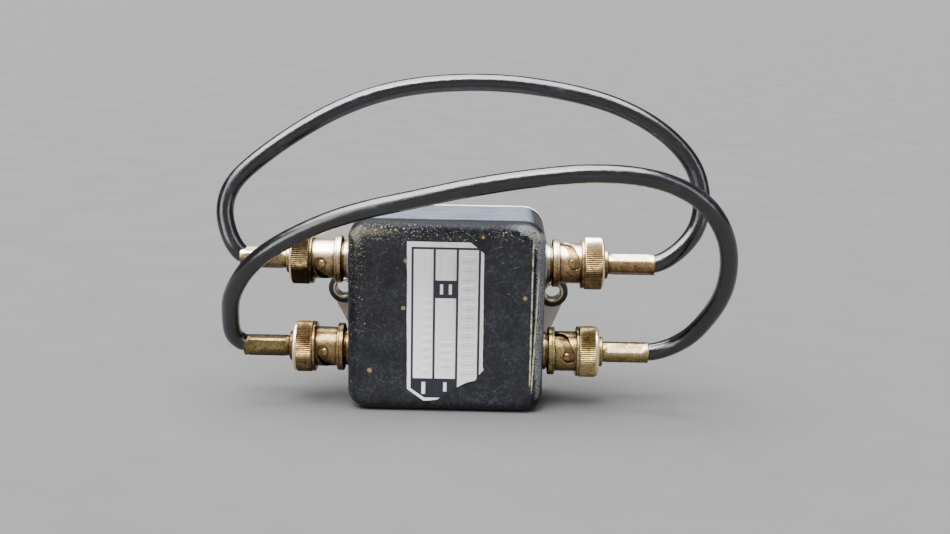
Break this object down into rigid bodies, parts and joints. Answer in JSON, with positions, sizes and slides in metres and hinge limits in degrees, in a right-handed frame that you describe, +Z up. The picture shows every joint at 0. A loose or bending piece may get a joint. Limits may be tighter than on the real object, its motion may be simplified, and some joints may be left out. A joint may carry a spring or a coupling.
{
  "type": "dual port coupler",
  "caption": "Black moulded coupler box with bayonet coaxial jacks on both sides, crimped plugs and black jumper leads arching over the top, on an eared mounting plate",
  "frame": {"origin": "middle of the base on which the box stands, at the middle of its width and depth without the leads", "axes": "+X runs across the ports towards the right pair as seen from the labelled face, +Y from the labelled face to the mounting plate, +Z up"},
  "size_m": [0.143, 0.0465, 0.0914],
  "materials": {
    "case_moulding": "dull black moulding, worn at the edges",
    "plate_paint": "faded beige paint on sheet steel",
    "zinc_steel": "zinc plated",
    "grommet_rubber": "black rubber",
    "eyelet_brass": "plated brass, tarnished",
    "label_foil": "printed foil, torn and rubbed",
    "board_laminate": "green laminate",
    "ferrite": "grey ferrite",
    "winding_wire": "enamelled copper wire",
    "resistor_body": "lacquered",
    "connector_brass": "brass whose plating has tarnished brown",
    "insulator_white": "white plastic insulator",
    "contact_gold": "gold plated",
    "gasket_rubber": "red rubber",
    "spring_steel": "spring steel",
    "lead_jacket": "smooth black jacket"
  },
  "bodies": {
    "root": {"case": "case_moulding", "mounting_plate": "plate_paint", "plate_screws": "zinc_steel", "grommet_left": "grommet_rubber", "grommet_right": "grommet_rubber", "eyelet_left": "eyelet_brass", "eyelet_right": "eyelet_brass", "label": "label_foil", "circuit_board": "board_laminate", "board_screws": "zinc_steel", "transformer_core": "ferrite", "transformer_windings": "winding_wire", "isolation_resistors": "resistor_body", "jack_shell_upper_left": "connector_brass", "jack_shell_lower_left": "connector_brass", "jack_shell_upper_right": "connector_brass", "jack_shell_lower_right": "connector_brass", "jack_insulator_upper_left": "insulator_white", "jack_insulator_lower_left": "insulator_white", "jack_insulator_upper_right": "insulator_white", "jack_insulator_lower_right": "insulator_white", "jack_contacts": "contact_gold", "jack_washers": "zinc_steel", "jack_nuts": "connector_brass", "plug_body_upper_left": "connector_brass", "plug_body_lower_left": "connector_brass", "plug_body_upper_right": "connector_brass", "plug_body_lower_right": "connector_brass", "plug_insulator_upper_left": "insulator_white", "plug_insulator_lower_left": "insulator_white", "plug_insulator_upper_right": "insulator_white", "plug_insulator_lower_right": "insulator_white", "plug_pins": "contact_gold", "gaskets": "gasket_rubber", "retaining_rings": "spring_steel", "wave_washer_upper_left": "spring_steel", "wave_washer_lower_left": "spring_steel", "wave_washer_upper_right": "spring_steel", "wave_washer_lower_right": "spring_steel", "crimp_ferrule_upper_left": "connector_brass", "crimp_ferrule_lower_left": "connector_brass", "crimp_ferrule_upper_right": "connector_brass", "crimp_ferrule_lower_right": "connector_brass", "jumper_cable_upper": "lead_jacket", "jumper_cable_lower": "lead_jacket"},
    "thrust_upper_left": {"thrust_washer_upper_left": "spring_steel"},
    "nut_upper_left": {"coupling_nut_upper_left": "connector_brass"},
    "thrust_lower_left": {"thrust_washer_lower_left": "spring_steel"},
    "nut_lower_left": {"coupling_nut_lower_left": "connector_brass"},
    "thrust_upper_right": {"thrust_washer_upper_right": "spring_steel"},
    "nut_upper_right": {"coupling_nut_upper_right": "connector_brass"},
    "thrust_lower_right": {"thrust_washer_lower_right": "spring_steel"},
    "nut_lower_right": {"coupling_nut_lower_right": "connector_brass"}
  },
  "joints": [
    {"name": "nut_turn_upper_left", "type": "hinge", "parent": "thrust_upper_left", "child": "nut_upper_left", "pos_m": [-0.037, -0.0027, 0.0408], "axis": [-1, 0, 0], "range_deg": [0, 16]},
    {"name": "nut_push_upper_left", "type": "slide", "parent": "root", "child": "thrust_upper_left", "axis": [1, 0, 0], "range_m": [0, 0.00071], "deforming": ["wave_washer_upper_left"]},
    {"name": "nut_turn_lower_left", "type": "hinge", "parent": "thrust_lower_left", "child": "nut_lower_left", "pos_m": [-0.037, -0.0027, 0.0154], "axis": [-1, 0, 0], "range_deg": [0, 16]},
    {"name": "nut_push_lower_left", "type": "slide", "parent": "root", "child": "thrust_lower_left", "axis": [1, 0, 0], "range_m": [0, 0.00071], "deforming": ["wave_washer_lower_left"]},
    {"name": "nut_turn_upper_right", "type": "hinge", "parent": "thrust_upper_right", "child": "nut_upper_right", "pos_m": [0.037, -0.0027, 0.0408], "axis": [1, 0, 0], "range_deg": [0, 16]},
    {"name": "nut_push_upper_right", "type": "slide", "parent": "root", "child": "thrust_upper_right", "axis": [-1, 0, 0], "range_m": [0, 0.00071], "deforming": ["wave_washer_upper_right"]},
    {"name": "nut_turn_lower_right", "type": "hinge", "parent": "thrust_lower_right", "child": "nut_lower_right", "pos_m": [0.037, -0.0027, 0.0154], "axis": [1, 0, 0], "range_deg": [0, 16]},
    {"name": "nut_push_lower_right", "type": "slide", "parent": "root", "child": "thrust_lower_right", "axis": [-1, 0, 0], "range_m": [0, 0.00071], "deforming": ["wave_washer_lower_right"]}
  ],
  "couplings": [
    {"joint": "nut_push_upper_left", "follows": "nut_turn_upper_left", "m_per_rad": 0.0025067},
    {"joint": "nut_push_lower_left", "follows": "nut_turn_lower_left", "m_per_rad": 0.0025067},
    {"joint": "nut_push_upper_right", "follows": "nut_turn_upper_right", "m_per_rad": 0.0025067},
    {"joint": "nut_push_lower_right", "follows": "nut_turn_lower_right", "m_per_rad": 0.0025067}
  ]
}
